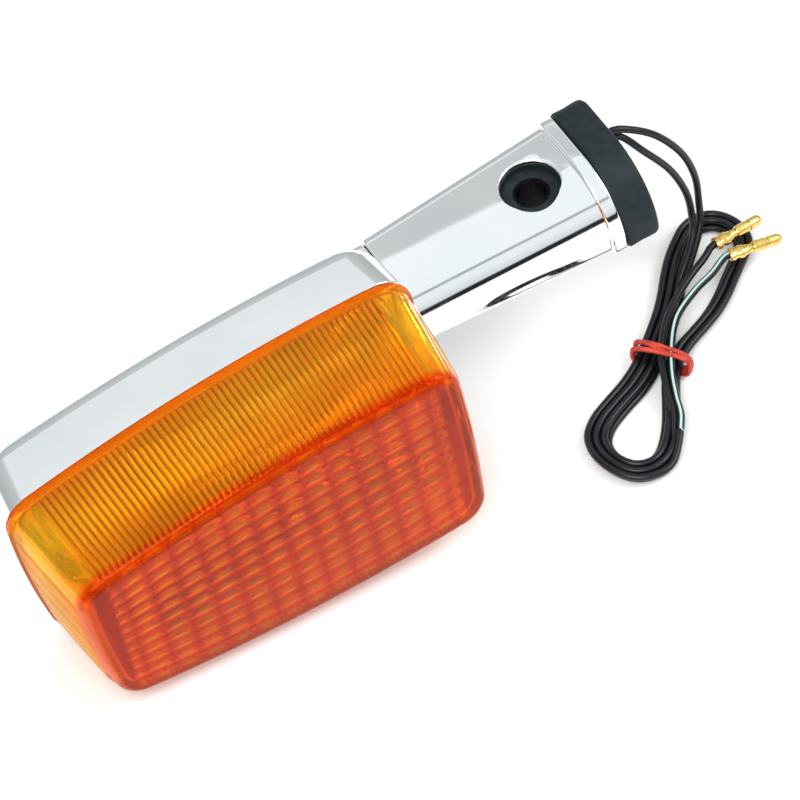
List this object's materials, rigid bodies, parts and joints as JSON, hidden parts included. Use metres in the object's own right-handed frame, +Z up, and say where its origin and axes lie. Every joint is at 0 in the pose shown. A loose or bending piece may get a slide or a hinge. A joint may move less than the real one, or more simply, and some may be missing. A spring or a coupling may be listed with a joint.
{
  "type": "motorcycle turn signal indicator",
  "caption": "Amber-lensed turn signal with a chromed housing, a flared hollow stem, a rubber mount, a bayonet bulb in a sprung socket and a tied hank of wires with bullet terminals.",
  "frame": {"origin": "centre of the lamp and mount's bounding box in X and Y, on the surface the lamp lies on", "axes": "+X along the stem from the lamp to the rubber mount, rising 5.46 degrees with it; -Y out through the lens; +Z up, with the lamp lying on its bowed lower side wall"},
  "size_m": [0.2184, 0.0749, 0.069],
  "materials": {
    "chrome": "polished",
    "amber": "gloss",
    "black_rubber": "matte",
    "reflector_metal": "polished",
    "zinc_steel": "satin",
    "brass": "satin",
    "clear_glass": "gloss",
    "phenolic": "matte",
    "tungsten": "satin",
    "wire_jacket": "satin",
    "tie_rubber": "satin"
  },
  "bodies": {
    "lamp_body": {"housing": "chrome", "lens_gasket": "black_rubber", "reflector": "reflector_metal", "socket_shell": "zinc_steel", "socket_bracket": "zinc_steel", "socket_insulator": "phenolic", "contact_spring": "zinc_steel", "lens_screw_1": "zinc_steel", "lens_screw_2": "zinc_steel", "stem_screw_1": "zinc_steel", "stem_screw_2": "zinc_steel", "stem": "chrome", "mount_rubber": "black_rubber", "mount_sleeve": "zinc_steel", "inner_wire_signal": "wire_jacket", "inner_wire_ground": "wire_jacket", "wire_lead_signal": "wire_jacket", "wire_lead_ground": "wire_jacket", "wire_hank": "wire_jacket", "hank_tie": "tie_rubber", "wire_tail_signal": "wire_jacket", "wire_tail_ground": "wire_jacket", "bullet_signal": "brass", "bullet_ground": "brass"},
    "lens_body": {"lens": "amber"},
    "plunger_body": {"contact_plunger": "brass"},
    "bulb_body": {"bulb_glass": "clear_glass", "bulb_base": "brass", "bulb_contact": "zinc_steel", "bulb_filament": "tungsten"}
  },
  "joints": [
    {"name": "lens_off", "type": "slide", "parent": "lamp_body", "child": "lens_body", "axis": [0, -1, 0], "range_m": [0, 0.045]},
    {"name": "bulb_push", "type": "slide", "parent": "lamp_body", "child": "plunger_body", "axis": [0.9955, 0, 0.0951], "range_m": [0, 0.002], "stiffness_N_per_m": 1500, "springref_m": -0.002, "deforming": ["contact_spring"]},
    {"name": "bulb_turn", "type": "hinge", "parent": "plunger_body", "child": "bulb_body", "pos_m": [-0.0007, 0.006, 0.03556], "axis": [0.9955, 0, 0.0951], "range_deg": [-20, 0]}
  ]
}
